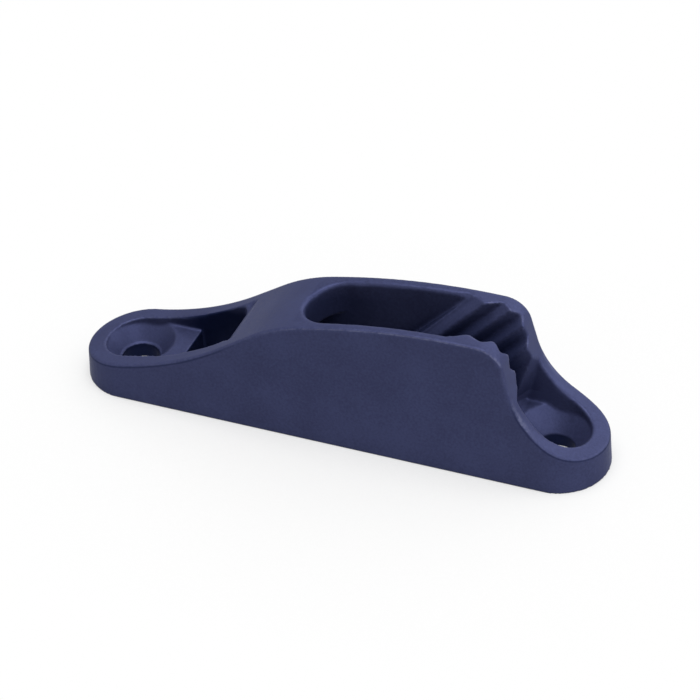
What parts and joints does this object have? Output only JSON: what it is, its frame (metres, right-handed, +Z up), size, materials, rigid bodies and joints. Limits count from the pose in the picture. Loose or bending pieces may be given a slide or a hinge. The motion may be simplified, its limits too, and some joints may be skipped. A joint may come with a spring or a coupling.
{
  "type": "jam cleat",
  "caption": "Long low cast cleat for small line, with a fairlead bridge, an open slot, a tapering ridged jaw and a countersunk screw hole in each rounded end.",
  "frame": {"origin": "on the base plane, midway between the two screw holes", "axes": "+X along the cleat from the fairlead end to the jaw end, +Y across it, +Z up from the base"},
  "size_m": [0.0872, 0.0166, 0.0237],
  "materials": {
    "anodised_casting": "hard anodised, dark slate blue, satin"
  },
  "bodies": {
    "root": {"cleat_body": "anodised_casting"}
  },
  "joints": []
}
